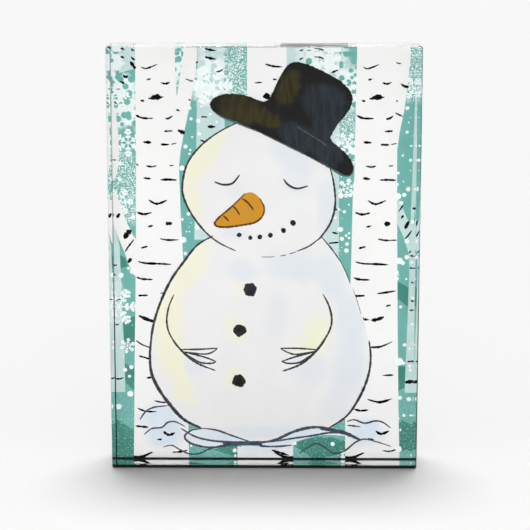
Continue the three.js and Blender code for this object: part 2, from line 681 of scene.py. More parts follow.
def forest_material(name, colour, speckle):
    """Forest colour with frost lace over it; speckle is how much fine snow shows low down."""
    material, tree = new_material(name)
    coordinates = texture_space(tree)
    base = mottle(tree, noise(tree, coordinates, 160.0, 5.0), 0.35, 0.65, colour, 0.04)
    grains = steps(tree, noise(tree, coordinates, 1500.0, 1.0), 0.58, 0.7)
    low = patch(tree, ragged_space(tree, coordinates, 6.0, 150.0), *DUST_AREA, soft=0.4)
    dust = combine(tree, "MULTIPLY", grains, low, speckle)
    snowy = mix_colour(tree, dust, base, linear(PALE_TEAL))
    lace = mix_colour(tree, lace_mask(tree, coordinates), snowy, linear(LACE_WHITE))
    paint(material, {**INK_FINISH, "Base Color": lace})
    return material


def snow_material(name, colour, washes, spread=0.01):
    """Painted snow with soft watercolour washes; washes has the ovals of each colour."""
    material, tree = new_material(name)
    coordinates = texture_space(tree)
    brushed = ragged_space(tree, coordinates, 3.5, 130.0)
    bristle = steps(tree, noise(tree, coordinates, 420.0, 4.0, (1, 1, 0.35)), 0.3, 0.7, 0.75, 1.0)
    tone = mottle(tree, noise(tree, coordinates, 90.0, 4.0), 0.35, 0.65, colour, spread)
    for wash, ovals in washes.items():
        for strength, *oval in ovals:
            mask = patch(tree, brushed, *oval, soft=0.55)
            amount = combine(tree, "MULTIPLY", mask, bristle, strength)
            tone = mix_colour(tree, amount, tone, linear(wash))
    paint(material, {**INK_FINISH, "Base Color": tone})
    return material


# ---------------- the printed forest

def make_ground():
    layer = InkLayer("picture_ground", 0)
    layer.shape([
        (INK_LEFT, INK_BOTTOM), (INK_RIGHT, INK_BOTTOM), (INK_RIGHT, INK_TOP), (INK_LEFT, INK_TOP),
    ])
    layer.piece(forest_material("teal_ink", TEAL, 0.8))


def make_hills():
    """Dark angular hills seen low down between the trunks."""
    layer = InkLayer("picture_hills", 1)
    layer.shape([(-64.5, 18), (-60.5, 15.5), (-56, 12.8), (-56, 0), (-64.5, 0)])
    layer.shape([(-61, 43.5), (-58.5, 41.5), (-55, 40), (-55, 30), (-57, 31), (-59.6, 34)])
    layer.shape([(-61.2, 89.5), (-59, 88), (-57.8, 84.5), (-61.2, 83.5)])
    layer.shape([(-60.6, 61), (-55, 63), (-55, 50), (-60.2, 51.5)])
    layer.shape([(-33, 4.2), (-21, 4.2), (-17.5, 6), (-11, 6), (-11, 0), (-12.5, 0.8), (-21.5, 4)])
    layer.shape([(12, 6.5), (17, 8.6), (23, 10), (29, 9.6), (35, 8), (35, 3), (23.5, 0), (21, 0)])
    layer.shape([(57.5, 15.8), (59.4, 17.4), (62, 16), (64.5, 16), (64.5, 2.6), (61, 4.5), (58, 3)])
    layer.shape([(56, 78.4), (61.5, 75.2), (61, 67), (56, 71)])
    layer.shape([(56.5, 41.5), (60.3, 41), (60, 32), (57, 30)])
    layer.piece(forest_material("dark_teal_ink", DARK_TEAL, 0.6))


def make_far_trunks():
    """Pale trunks and boughs in the mist behind the near ones."""
    layer = InkLayer("picture_far_trunks", 2)
    layer.shape([(-27.6, 178), (-16.9, 178), (-16.6, 140), (-16.6, 96), (-29.6, 96), (-28.4, 140)])
    layer.shape([(9, 178), (16.2, 178), (16.6, 140), (9, 140)])
    layer.shape([(-60.4, 178), (-53.4, 178), (-53.4, 168), (-60.4, 166)])
    layer.shape([(19.6, 178), (31, 178), (31.2, 130), (31.4, 80), (19.6, 80)])
    layer.shape([(-64.5, 110), (-62.5, 100), (-61.2, 93), (-60.8, 78), (-60.4, 62), (-59.8, 46),
                 (-59.7, 29.6), (-64.5, 29.6)])
    layer.shape([(62.6, 158), (63.6, 158), (63.6, 116), (62.8, 104), (64.5, 98), (64.5, 29.6),
                 (60, 29.6), (60.3, 45), (60.8, 62), (61.2, 84), (60.6, 91), (61.4, 103), (61.8, 120)])
    layer.shape([(55, 116), (57.4, 111), (60, 105), (62.4, 101.6), (64.5, 101), (64.5, 96),
                 (61.6, 95.5), (60.8, 90.5), (58.6, 97), (56, 102.8), (55, 104)])
    layer.piece(forest_material("mist_ink", PALE_TEAL, 0.2))


def make_trunks():
    """Near birch trunks."""
    layer = InkLayer("picture_trunks", 3)
    layer.shape([(-53.6, 178), (-53.8, 130), (-54.2, 100), (-54.8, 70), (-55.4, 48), (-56.4, 0),
                 (-32.6, 0), (-33, 60), (-34.4, 88), (-35.2, 104), (-35.8, 127), (-35, 134),
                 (-33.4, 142), (-30.4, 155.6), (-28.9, 164), (-27.4, 178), (-33, 178), (-34.6, 168),
                 (-36.5, 155.6), (-37, 167), (-37.2, 178)])
    layer.shape([(-7.2, 178), (-7.4, 120), (-11.6, 20), (-11.7, 0), (12.4, 0), (12.2, 20),
                 (9.2, 120), (9.2, 178)])
    layer.shape([(38.4, 178), (38, 159), (37.6, 123), (37, 113), (36.6, 86), (36, 60), (34.6, 20),
                 (34.8, 0), (58.2, 0), (57.4, 24), (56.8, 50), (56.2, 80), (55.6, 115), (55.4, 134),
                 (56.4, 142), (58.2, 151), (59.4, 161), (60.2, 170), (60.7, 178)])
    layer.shape([(-64.5, 114), (-62.6, 115), (-60.2, 110), (-58.4, 104), (-55.6, 98), (-53.5, 95),
                 (-53.5, 79), (-55, 80.4), (-57.2, 84.6), (-59, 90), (-61.2, 95.6), (-63, 101),
                 (-64.5, 105)])
    layer.shape([(-64.5, 154), (-62, 150), (-61, 140), (-61, 128), (-62.5, 122), (-64.5, 120)])
    washes = {DRIFT_BLUE: (
        (1.0, -44, 18, 13, 9, 0), (1.0, -43, 10, 11, 7, 0), (1.0, 44.5, 13, 11, 6.5, 0),
        (0.6, 42, 8, 9, 4, 0), (0.7, 0, 6, 16, 5, 0),
    )}
    layer.piece(snow_material("trunk_ink", TRUNK_WHITE, washes, 0.004))


BARK_STROKE = (1.25, 0.12, 0.38)    # weight, ends and wobble of every bark mark
TRUNK_SIDES = (-53.6, 38.3)         # left edges of the two whole trunks
PAINTED_SHADE_RULE = 0.15                    # painted shade: a black rule along the foot of the print, for the dark line at the slab's foot
BARK_MARKS = (
    # (width, points), x from the trunk's left edge
    (0.55, (2.4, 168.6), (4.2, 167.9), (6.4, 168.5), (9.2, 169.7)), (0.6, (4.6, 163.2), (6.4, 163.7)),
    (0.7, (10.5, 162.2), (12.4, 161.6), (14.4, 162.3)),
    (0.9, (5.2, 155.5), (8.2, 155.6), (11.6, 156.2)), (1.7, (6.3, 155.8), (8.4, 156.1), (10.6, 156.2)),
    (0.7, (2, 154.7), (3.6, 154.4)), (0.75, (-0.2, 148.7), (2.6, 147.4), (7.2, 147.2)),
    (0.7, (12.2, 147.1), (13.6, 147.2), (15.3, 148.3)), (0.75, (11.7, 141.8), (15.2, 142)),
    (0.85, (2.9, 137.3), (6.4, 137.1)), (0.85, (10.2, 136.3), (13.8, 136.2)),
    (0.35, (14.4, 136.3), (17, 136.9)), (0.6, (4, 127.3), (6.4, 126.9), (8.5, 127.4)),
    (0.5, (13.6, 127.3), (15.6, 127.5)), (0.75, (2.8, 122.2), (6, 121.8)),
    (0.8, (9.9, 121.4), (13.4, 121.5), (16.8, 121.3)),
    (0.8, (4.9, 112.9), (8.3, 111.2), (12.7, 112.8)),
    (0.85, (-0.2, 107.7), (2.7, 106.8), (6.1, 107.5)), (0.75, (4.4, 101.4), (6.7, 102)),
    (1.5, (11.9, 102.8), (14.7, 102.9)), (0.6, (9.4, 96.4), (12.6, 95.8), (17.6, 95.9)),
    (0.75, (1.4, 92.3), (4.3, 93.1)), (0.75, (0, 86.6), (3.4, 85.8), (9.2, 85.6), (14.2, 85.3)),
    (0.8, (-0.6, 79.8), (1.8, 79), (6.4, 78.8)), (0.95, (0, 71.8), (4.2, 72)),
    (0.6, (9.2, 72.8), (13.2, 73.4), (17.4, 74.1)),
)

LEFT_TRUNK_MARKS = (
    (1.3, (-33.2, 141.1), (-34.4, 141.5), (-36.2, 142.3)),
    (0.5, (-29.6, 162.6), (-30.6, 162.9), (-32.8, 163.6)), (0.5, (-27.4, 170.8), (-28.6, 170.2)),
    (0.5, (-30.6, 154.6), (-31.6, 155.2)), (0.55, (-36.8, 150.9), (-35.2, 150.3)),
    (0.5, (-53.8, 128.2), (-52.8, 127.4)), (1.2, (-53.6, 63.2), (-50.4, 61.7), (-46.6, 60.4)),
    (0.55, (-54.8, 52.3), (-52.4, 50.6), (-49, 49.2)),
    (0.65, (-53.8, 45.6), (-51.4, 44.9), (-48.6, 44)), (0.7, (-50.6, 35.8), (-47.8, 36.2)),
    (0.55, (-47.4, 25.8), (-44.6, 25.2), (-41.6, 25)), (0.65, (-54.8, 22.6), (-51, 21.1), (-46.4, 21)),
    (0.75, (-55.6, 14.6), (-52.8, 14.3), (-49.8, 14)),
    (1.1, (-43.6, 12.2), (-41.2, 10.6), (-38.6, 11.6)), (0.8, (-46.2, 8.6), (-44.2, 8.6)),
    (0.7, (-39.8, 2.9), (-36.4, 3.1), (-33.2, 3.8)),
)

MIDDLE_TRUNK_MARKS = (
    (0.7, (0.2, 169.8), (3.6, 168.9), (7.4, 168.6)), (0.6, (3.4, 163.5), (5.2, 163.4)),
    (0.5, (-4.2, 162), (-1, 162.2)), (1.8, (-0.8, 156.2), (2.4, 156.8)),
    (0.9, (3, 4), (6.2, 3), (10.6, 1.6)),
)

RIGHT_TRUNK_MARKS = (
    (0.5, (54.4, 170.4), (56.6, 169.9)), (0.8, (56.4, 161.8), (58.2, 160.6), (60, 160.4)),
    (0.6, (54.4, 149.6), (56, 148.8), (57.7, 148.1)), (0.6, (54.6, 154.6), (55.4, 154.5)),
    (0.9, (40.6, 62.6), (42.2, 61.8), (44.4, 61.5)), (1.3, (45.2, 61.4), (47.6, 61.6), (50.8, 62.8)),
    (0.7, (51.4, 67.4), (53.6, 68)), (0.7, (44.2, 49.6), (49.4, 49.8), (54.6, 52.2)),
    (0.6, (50.4, 37.2), (55.2, 37.4)), (0.85, (44, 26.7), (49.4, 25.4), (54.7, 27)),
    (0.75, (38.2, 22.4), (41.2, 21.6), (44.6, 22)), (0.5, (35.4, 15.1), (38.6, 14.8), (41.4, 14.4)),
    (1, (47.8, 12.6), (50.2, 11.3), (53.6, 12.7)), (0.6, (44.4, 9.2), (47.2, 8.8)),
    (0.6, (50.8, 3.9), (54.2, 3.6), (58, 5)),
)

FAR_MARKS = (
    (0.8, (-25.2, 176.2), (-23, 175.6), (-20, 175.3)),
    (0.8, (-24.8, 172.8), (-22.6, 172.2), (-20, 171.8)),
    (0.5, (-20.2, 166.6), (-18.6, 166.8), (-17, 167.8)), (0.6, (-26.4, 147.9), (-23.8, 147.8)),
    (0.9, (-23.8, 143.8), (-20.4, 143.7)), (0.6, (-27, 138.2), (-24.6, 137.3)),
    (0.5, (20.6, 172.8), (22.8, 172.6), (24.6, 172)), (0.6, (14.6, 175.8), (15.8, 176.6)),
    (0.6, (14.4, 171.6), (16, 172.4)), (0.7, (27.6, 166.2), (30.6, 167.4)),
    (0.7, (29.4, 108.8), (31.2, 109)), (0.6, (28.4, 99.2), (31, 98.6)),
    (0.6, (27, 94.5), (31.4, 94.9)), (0.7, (62, 109.6), (63.6, 109.2)),
    (0.5, (56.2, 107.8), (58.2, 110.8)), (0.8, (57.4, 105), (58.4, 106.6)),
    (1.1, (59, 100.6), (60.8, 104.2)), (0.5, (59, 96.4), (60.6, 98), (62, 100.2)),
    (0.6, (60.8, 90.2), (61.8, 91.4)), (0.6, (61.4, 89.3), (63.2, 89)),
    (0.6, (61.2, 84), (63.9, 83.8)), (0.5, (62, 78), (63, 77.4)), (0.5, (61.6, 70.2), (63.2, 69.4)),
    (0.5, (61.4, 65.6), (63.2, 65.8)), (0.6, (60.8, 43.2), (63.9, 43.6)),
    (1.2, (60, 34.2), (63.9, 34.7)), (1, (-64.4, 105.4), (-63.8, 107.2)),
    (1, (-62.2, 105.2), (-60.9, 107.2)), (1.7, (-59.2, 96.2), (-57.8, 98.6), (-56.1, 100)),
    (0.6, (-59, 90.5), (-58, 92.2), (-56.5, 94.2), (-55, 96.2)), (1.1, (-57.7, 86), (-56.3, 88)),
    (0.7, (-55.8, 81.3), (-54.8, 82.6)), (0.6, (-63.8, 84.9), (-62.4, 85)),
    (0.5, (-64, 81.6), (-63, 80.4)), (0.4, (-63.6, 69), (-62, 70.1), (-60.8, 70)),
    (0.5, (-63.6, 59), (-61.8, 59.4)), (0.6, (-64, 35.6), (-62, 35.4), (-60.2, 36.1)),
    (0.8, (-59.6, 176.6), (-58.3, 175.9)), (0.7, (-59.6, 172.9), (-58, 172.3)),
    (1.1, (-55.7, 170.8), (-54.6, 169.4), (-53.5, 167.8)),
    (0.5, (-55.6, 176.8), (-54.9, 175.6), (-53.8, 174.8)),
    (0.6, (-55.3, 172.9), (-54.4, 171.8), (-53.5, 171.5)),
    (0.8, (-58.8, 165.2), (-57.6, 164.4), (-56.4, 165.1)), (0.9, (-60.1, 162.6), (-58.1, 161.7)),
    (0.6, (-62.6, 154.2), (-61.4, 153.1)), (0.4, (-64.2, 129.8), (-61.6, 129.7)),
)

ROOT = (
    # a forked root mark, x from its trunk's edge
    (0, 0.2), (0, 1.4), (2, 1.2), (4.2, 1.7), (7.6, 3.1), (8.4, 2.8), (5.2, 0.9), (4.4, 0.2),
)


def make_bark():
    layer = InkLayer("picture_bark_marks", 5)
    for width, *points in BARK_MARKS:
        for side in TRUNK_SIDES:
            layer.strokes([(width, *((side + x, z) for x, z in points))], *BARK_STROKE)
    for group in (LEFT_TRUNK_MARKS, MIDDLE_TRUNK_MARKS, RIGHT_TRUNK_MARKS, FAR_MARKS):
        layer.strokes(group, *BARK_STROKE)
    for edge, way in ((-56.4, 1), (12.4, -1), (34.8, 1)):
        layer.shape([(edge + x * way, z) for x, z in ROOT])
    # painted shade: a black rule along the foot of the print
    rule_top = INK_BOTTOM + PAINTED_SHADE_RULE
    layer.shape([(INK_LEFT, INK_BOTTOM), (INK_RIGHT, INK_BOTTOM), (INK_RIGHT, rule_top),
                 (INK_LEFT, rule_top)])
    layer.piece(mottled_ink("bark_ink", BARK_BLACK, 0.3, 600.0))


SNOWFLAKES = (
    # (x, z, radius, turn)
    (-63, 156, 7, 10), (-57, 137, 6, 30), (-61, 112, 6, 0), (-62, 67, 8.5, 0), (-58.5, 50, 3.4, 20),
    (-22, 161, 9, 0), (-9.5, 150, 5, 15), (26, 171, 6, 20), (34.5, 137, 4.6, 0), (34.8, 118, 4.2, 20),
    (33.5, 158, 5.4, 35), (62, 160, 5, 0),
)
ARM_WIDTH = 0.07           # this and the next are shares of the radius
PETAL_WIDTH = 0.15
PETAL_ANGLE = 55
PETALS = ((0.35, 0.22), (0.6, 0.3), (0.82, 0.2))    # where on the arm, and how long


def make_snowflakes():
    """Frosty six-armed stars with rounded petals."""
    layer = InkLayer("picture_snowflakes", 2.5)
    for x, z, radius, turn in SNOWFLAKES:
        for arm in range(6):
            angle = math.radians(60 * arm + turn)
            layer.stroke([(x, z), out_from(x, z, angle, radius)], radius * ARM_WIDTH, 0.6)
            for share, length in PETALS:
                root = out_from(x, z, angle, radius * share)
                for side in (-PETAL_ANGLE, PETAL_ANGLE):
                    tip = out_from(*root, angle + math.radians(side), radius * length)
                    layer.stroke([root, tip], radius * PETAL_WIDTH, 0.45)
    layer.piece(mottled_ink("frost_ink", FLAKE_WHITE, 0.02, 300.0))


SNOW_DOTS = (
    # (x, z, radius)
    (-31.2, 151.6, 0.8), (-30.6, 147, 0.7), (-30.2, 139.4, 0.45), (-33, 135.4, 0.85), (-31, 134, 0.5),
    (-31.4, 132.4, 0.5), (-34.6, 126.4, 1.1), (-26.2, 152.2, 0.5), (-27.2, 140.8, 0.8),
    (-27.6, 146.2, 0.9), (-22.6, 149, 0.6), (-20, 145.8, 0.5), (-32, 107, 0.8), (-32.8, 99.4, 0.35),
    (-31.6, 99.4, 0.35), (-34.2, 95.8, 1.3), (-33.4, 90, 0.75), (-34.6, 104.6, 0.6), (-28.4, 101.4, 1),
    (-54.6, 135.6, 0.9), (-60.4, 128.2, 0.9), (-60.6, 121.4, 0.8), (-55.4, 105.4, 0.9),
    (-57.6, 83.6, 0.6), (-55.6, 82.4, 1.4), (-60.8, 80.6, 1.1), (-59.6, 39.4, 0.9), (-57, 40.6, 0.9),
    (-57.8, 36.6, 0.7), (-57.6, 28.8, 1.3), (-62.6, 23.2, 1.3), (-64, 23.2, 0.7), (33.6, 108, 0.7),
    (35.4, 111, 0.4), (32, 114.8, 1.2), (36, 115, 0.9), (32, 100.4, 1.1), (34.4, 97.8, 0.6),
    (35.6, 98.8, 0.5), (32.6, 96.4, 0.9), (35.6, 96.8, 0.5), (34.8, 94.2, 0.8), (34.6, 91.4, 1),
    (31.2, 109, 0.6), (29.6, 105.6, 0.8), (59.4, 151.6, 0.8), (60, 145.6, 0.35), (59.4, 141.6, 0.7),
    (61.2, 135.8, 0.5), (63.4, 135.8, 0.5), (57.8, 131.8, 0.45), (61, 129.8, 0.7), (63.8, 130, 0.7),
    (56, 124.4, 0.6), (58.2, 120.8, 0.35), (60.2, 117.6, 0.95), (63.2, 117.6, 0.6), (56, 114.6, 1.4),
    (58.6, 115.2, 0.9), (57.4, 111.8, 0.9), (55.6, 119.6, 0.7), (62.2, 103.8, 0.9), (60, 95.4, 1),
    (60, 88.6, 1), (57, 87, 1.4), (58.4, 86.2, 0.9), (55.8, 82, 1), (56, 79.4, 0.8), (60, 79.2, 0.5),
    (57.8, 67.2, 0.7), (62.2, 86.4, 0.6), (62.8, 71, 0.6), (62.6, 59.6, 0.5), (59.6, 50.6, 0.8),
    (57.4, 43.4, 1.7), (59.2, 42.6, 0.8), (61.8, 49, 0.5), (62, 41.4, 0.7), (62.2, 39.6, 0.7),
    (58, 27.4, 0.9), (61.8, 26.8, 1), (59.8, 19.6, 0.7), (62.8, 19.6, 0.5), (57.6, 18.2, 0.4),
    (58.4, 13.2, 0.5), (57.8, 4.6, 1.4), (63.6, 1.8, 0.8), (13, 7, 0.8), (29.4, 6.8, 0.9),
    (33.6, 3, 1), (33.8, 1, 0.9), (-12.8, 3.8, 0.9), (-12.6, 1.4, 0.6), (-31.6, 5.8, 0.5),
    (-63, 176, 0.6), (-57.2, 146, 0.6),
)
LOOSE_DOTS = 90
LOOSE_BANDS = ((-64, -55), (31, 38), (56, 64), (-36, -28))    # x of the gaps between the trunks
LOOSE_HEIGHTS = (40, 176)
LOOSE_RADII = (0.12, 0.3)


def make_snow_dots():
    """Falling snow: the larger flakes, and a seeded scatter of fine ones."""
    layer = InkLayer("picture_snow_dots", 6)
    for x, z, radius in SNOW_DOTS:
        layer.blot(x, z, radius, 0.1)
    for _ in range(LOOSE_DOTS):
        x = random.uniform(*random.choice(LOOSE_BANDS))
        z = random.uniform(*LOOSE_HEIGHTS)
        layer.blot(x, z, random.uniform(*LOOSE_RADII), 0.1, 8)
    layer.piece(mottled_ink("snow_dot_ink", FLAKE_WHITE, 0.01, 300.0))


# ---------------- the printed snowman

BODY = [
    (-23, 97.3), (-29.6, 92.6), (-36.4, 83.2), (-42, 74), (-46.6, 61.5), (-48.9, 47), (-48.6, 39.5),
    (-45.6, 31.5), (-39, 22), (-29, 14.2), (-16, 9.2), (-2, 7.4), (12, 9.4), (24, 12.4), (33.4, 18),
    (40.6, 27), (44.6, 38), (45.2, 46), (43.4, 57), (40.4, 66), (36.8, 76), (31.6, 88), (27.6, 93.4),
    (24, 97.6), (12, 103), (-12, 103),
]
HEAD = [
    (-34.4, 117), (-33, 126.5), (-28.6, 133.6), (-20.6, 140.4), (-11.6, 145.4), (2, 146.8),
    (16, 142), (24.6, 133.6), (28.8, 122.6), (29.7, 111.6), (27.6, 102.8), (23.2, 96.6),
    (16, 91.8), (6.4, 89), (-3, 88.6), (-12, 91.2), (-19.4, 94.8), (-26, 100.8), (-31.4, 109),
]
SNOWMAN_WASHES = {
    # colour: (strength, x, z, half_width, half_height, turn)
    WASH_YELLOW: (
        (1.0, -26.5, 131, 7.5, 19, 40), (0.8, -30.5, 112, 5.5, 12, -18), (0.9, -31, 85, 7.5, 17, 34),
        (1.0, -41, 64, 7.5, 20, 18), (1.0, -39.5, 47, 7.5, 15, 0), (0.8, -35, 34, 5.5, 14, -26),
        (0.8, -13, 58, 6, 8, 0), (0.7, -12.5, 36, 5, 6, 0), (0.4, -11, 75, 4, 5, 0),
        (0.95, 22, 55, 8, 13, 24), (0.8, 19, 48.5, 8, 5, 0),
    ),
    WASH_BLUE: (
        (1.0, 12, 131, 14, 9, 28), (0.6, 14, 120, 9, 9, 0), (0.8, 26.5, 110, 6, 14, 0),
        (0.5, -12, 117, 6, 4, 0), (0.6, -13, 99, 7, 3, 0), (1.0, 12, 84, 16, 9, 10),
        (0.7, -9, 83, 9, 7, 0), (1.0, 28, 80, 8, 15, -20), (1.0, 36, 62, 7, 17, -12),
        (1.0, 36, 42, 9, 18, 8), (0.7, 20, 40, 11, 8, 0), (0.6, 5, 62, 7, 14, 0),
        (0.7, -30, 42, 6, 6, 0), (0.8, 0, 12, 26, 4, 0), (0.6, 30, 24, 10, 8, -40),
    ),
}


def make_snowman():
    layer = InkLayer("picture_snowman", 8)
    layer.shape(smooth_path(BODY, closed=True))
    layer.shape(smooth_path(HEAD, closed=True))
    layer.piece(snow_material("snow_ink", SNOW_WHITE, SNOWMAN_WASHES))


def make_drifts():
    """Loose snow between the wavy lines at the snowman's foot."""
    layer = InkLayer("picture_drifts", 9)
    layer.shape(smooth_path([
        (-34.4, 10), (-32, 12.6), (-26.5, 13.6), (-19, 12.4), (-10, 9), (0, 8), (9, 10.6),
        (18, 13.6), (26, 14), (33.6, 12.2), (40.8, 9), (34, 10.4), (24, 10.6), (14, 8), (8, 5.6),
        (-2, 5.2), (-12, 6), (-22, 5), (-30, 6.2),
    ], closed=True))
    washes = {DRIFT_BLUE: ((1.0, 0, 9, 42, 9, 0),)}
    layer.piece(snow_material("drift_ink", SNOW_WHITE, washes))


OUTLINES = (
    # (width, points)
    (0.9, (-9.6, 146.2), (-18.6, 141.8), (-26.6, 135.8), (-32.4, 128), (-34.5, 118.6), (-33.4, 112.4),
     (-30, 105.8), (-25, 99.4), (-19.4, 94.8), (-12.2, 91.2)),
    (0.9, (21.6, 95.4), (24, 97.5), (28, 103.8), (29.7, 111.4), (29, 120), (27.2, 127.4)),
    (0.7, (13.8, 91.1), (17, 92.4), (19.6, 93.8), (22.6, 96.2)), (0.4, (10.4, 89.9), (13.4, 90.8)),
    (0.35, (6.6, 89), (9.2, 89.5)), (0.3, (-1.5, 88.6), (1.5, 88.6), (4.4, 88.7)),
    (1.1, (-21.8, 97.6), (-28.4, 93.6), (-33.6, 87.2), (-39.4, 79), (-44, 69.4), (-47.4, 58.6),
     (-48.8, 47.6), (-48.6, 40)),
    (1.5, (-48.9, 50), (-48.7, 40), (-46.4, 33), (-41.6, 25.4), (-35, 17.8), (-27.4, 13.8)),
    (0.6, (23.6, 97.8), (28.4, 92), (32.6, 86)), (0.35, (32.2, 86.6), (34.4, 82), (36.2, 77.4)),
    (0.25, (37.4, 75.2), (39.4, 69.4), (41, 64)),
    (1.1, (44.5, 52.4), (45.3, 45), (44.2, 36.6), (40.6, 27.4), (35.2, 19.2), (27.4, 13.8)),
    (0.8, (-38.4, 72.4), (-40.6, 67.2), (-41.6, 61.2), (-40.6, 55.6), (-37.2, 50)),
    (1, (-40.2, 54.6), (-37.4, 50.2), (-33.4, 46), (-28.4, 42.2), (-21, 39.2)),
    (0.72, (-35.4, 48.4), (-28, 48.5), (-20, 49)),
    (0.72, (-20.2, 48.8), (-22.4, 47.2), (-26, 46.4), (-34.2, 47.4)),
    (0.78, (-34, 47.2), (-26, 45.2), (-20.8, 43.2)),
    (0.78, (-20.6, 43.2), (-22.6, 42.4), (-27.6, 42.8), (-33.2, 46.2)),
    (0.9, (24.8, 72.6), (27.4, 67.4), (28.6, 61.4), (27.4, 56.2), (24.2, 50.8)),
    (1.1, (27.2, 55.8), (24, 50.4), (19.6, 45.4), (14.6, 41.6), (7.8, 39)),
    (0.72, (22.2, 48.4), (14.6, 49), (6.8, 49)),
    (0.72, (7, 48.8), (10, 47.2), (13.6, 46.4), (21.6, 47.8)),
    (0.78, (21.2, 47.4), (14, 45.6), (7.2, 43.2)),
    (0.78, (7.4, 43.2), (10.4, 42.4), (15.2, 43), (20.4, 46.6)),
)
EYES = (
    (0.95, (-21, 120.6), (-17.4, 119.4), (-13.4, 120), (-10.4, 123.6)),
    (0.95, (8, 121.8), (10, 119.3), (13.6, 117.8), (18.2, 118.9)),
)
DRIFT_WEIGHT = 1.3
DRIFT_LINES = (
    (0.6, (-53.6, 17.4), (-51, 21), (-47.4, 22.9), (-41.6, 23.6)),
    (0.6, (-51.8, 10.8), (-48.6, 13.4), (-44.2, 14), (-41.6, 16.2), (-38.4, 16.5), (-34.2, 14.4)),
    (0.7, (-36, 13.6), (-30, 10), (-23, 8.2), (-14, 7.5), (-5, 7.6), (2, 7.8)),
    (0.7, (-26.4, 13.6), (-31.6, 12.6), (-34.4, 9.8), (-31.4, 6.8), (-23.6, 5.1), (-14.4, 6.2),
     (-6, 6.4), (1.6, 5.7)), (0.6, (-26.4, 13.6), (-20.6, 12.8), (-14, 10.4), (-6.6, 7.8)),
    (0.55, (-43.6, 5.2), (-40, 6), (-36.4, 4), (-32, 2.1), (-27.8, 2.5), (-23, 4.7), (-16, 6.4),
     (-10, 5.6)), (1.3, (-18, 6.9), (-9, 7), (-1, 6.6)),
    (1, (-2, 7.2), (4.8, 8.6), (12, 12), (19, 14), (25.4, 14), (33, 12)),
    (1.3, (24, 13.6), (33.6, 12), (41.2, 8.6)),
    (0.7, (2.6, 7.6), (12, 9.2), (20, 10.4), (28, 11.8), (34, 11.6)),
    (0.6, (-2, 5.6), (5, 5.6), (12, 6.2)),
    (0.6, (35.4, 16.8), (38.6, 17.6), (43, 16.1), (47.6, 17.1), (51, 16.4), (54.2, 13.9)),
    (0.6, (14.8, 2.4), (18.6, 5.2), (22.2, 7), (25.8, 5.4), (30, 2.6), (34.8, 4), (39.2, 7.6),
     (43.2, 9), (48, 7.9), (54.4, 5.8)),
)


def make_outlines():
    layer = InkLayer("picture_outlines", 10)
    layer.strokes(OUTLINES, 1.0, 0.4, 0.24, 14)
    layer.strokes(EYES, 1.0, 0.35, 0.05, 14)
    layer.piece(mottled_ink("outline_ink", OUTLINE_GREY, 0.35, 900.0))
    lines = InkLayer("picture_drift_lines", 10)
    lines.strokes(DRIFT_LINES, DRIFT_WEIGHT, 0.4, 0.2, 12)
    lines.piece(mottled_ink("drift_line_ink", DRIFT_LINE, 0.3, 700.0))


COALS = (
    # (x, z, radius)
    (-6.2, 74.4, 2.9), (-10.6, 56.8, 2.8), (-11, 34.8, 2.9), (-10.7, 98, 1.05), (-6, 96.8, 0.95),
    (-2, 97.2, 1.05), (2.5, 98, 1.1), (8, 100, 1.1), (12, 103.2, 1.25),
)
COAL_CORE = 0.94           # this and the next two are shares of a coal's radius
DAB_PLACE = 0.72
DAB_SIZE = 0.36
DABS = 5


def make_coal():
    layer = InkLayer("picture_coal", 11)
    for x, z, radius in COALS:
        layer.blot(x, z, radius * COAL_CORE, 0.09, 30)
        for _ in range(DABS):
            angle = random.uniform(0, 2 * math.pi)
            layer.blot(*out_from(x, z, angle, radius * DAB_PLACE), radius * DAB_SIZE, 0.2, 9)
    layer.piece(mottled_ink("coal_ink", COAL, 0.6, 420.0))


CARROT_OUTLINE = [
    (-21, 103), (-19, 105.6), (-15, 109), (-10.8, 113), (-8.2, 115.6), (-5, 116), (-2, 113.6),
    (-0.2, 110), (-0.8, 106.2), (-4, 103.4), (-9.6, 102.2), (-15.4, 101.4), (-19.6, 101.6),
]
CARROT_LINE_START = 6      # the outline is open at the nose's upper end
CARROT_LINE_END = 5
RING_WEIGHT = 1.3
CARROT_RINGS = (
    (0.6, (-17.4, 106.3), (-16, 105), (-15, 103.8)),
    (0.6, (-13.4, 110.4), (-11.8, 108.8), (-10.4, 106.4)),
    (0.6, (-9.6, 113.6), (-7, 111.8), (-4.6, 108.6)),
)


def make_carrot():
    layer = InkLayer("picture_nose", 11)
    layer.shape(smooth_path(CARROT_OUTLINE, closed=True))
    material, tree = new_material("carrot_ink")
    streaks = steps(tree, noise(tree, texture_space(tree), 260.0, 4.0, (1, 1, 0.6)), 0.35, 0.65)
    tone = mix_colour(tree, streaks, linear(CARROT_DARK), linear(CARROT))
    paint(material, {**INK_FINISH, "Base Color": tone})
    layer.piece(material)
    lines = InkLayer("picture_nose_lines", 12)
    open_line = CARROT_OUTLINE[CARROT_LINE_START:] + CARROT_OUTLINE[:CARROT_LINE_END]
    lines.stroke(open_line, 0.85, 0.45, 0.3, 14)
    lines.strokes(CARROT_RINGS, RING_WEIGHT, 0.4, 0.15)
    lines.piece(mottled_ink("nose_line_ink", CARROT_LINE, 0.3, 700.0))


